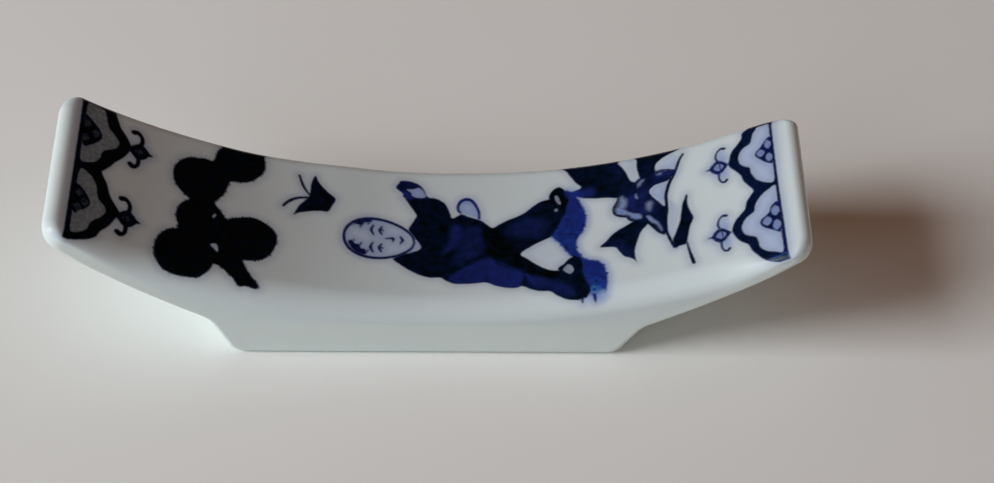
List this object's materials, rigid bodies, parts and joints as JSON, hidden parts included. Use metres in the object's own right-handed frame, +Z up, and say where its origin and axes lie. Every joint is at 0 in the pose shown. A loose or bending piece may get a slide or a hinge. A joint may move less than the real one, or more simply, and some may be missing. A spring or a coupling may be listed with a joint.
{
  "type": "knife rest",
  "caption": "Porcelain knife rest: a hollowed bar with upturned, round-rimmed ends on a low foot ring, for keeping a used knife's blade off the table.",
  "frame": {"origin": "on the table, under the middle of the rest", "axes": "+X along the rest towards its lower end, +Y across it, +Z up"},
  "size_m": [0.09, 0.0242, 0.0202],
  "materials": {
    "glazed_porcelain": "clear gloss glaze over white porcelain with cobalt painting",
    "fired_slip": "fired slip under the glaze",
    "glazed_foot": "clear gloss glaze, with a bare rim underneath"
  },
  "bodies": {
    "root": {"saddle": "glazed_porcelain", "slip_seam": "fired_slip", "foot_ring": "glazed_foot"}
  },
  "joints": []
}
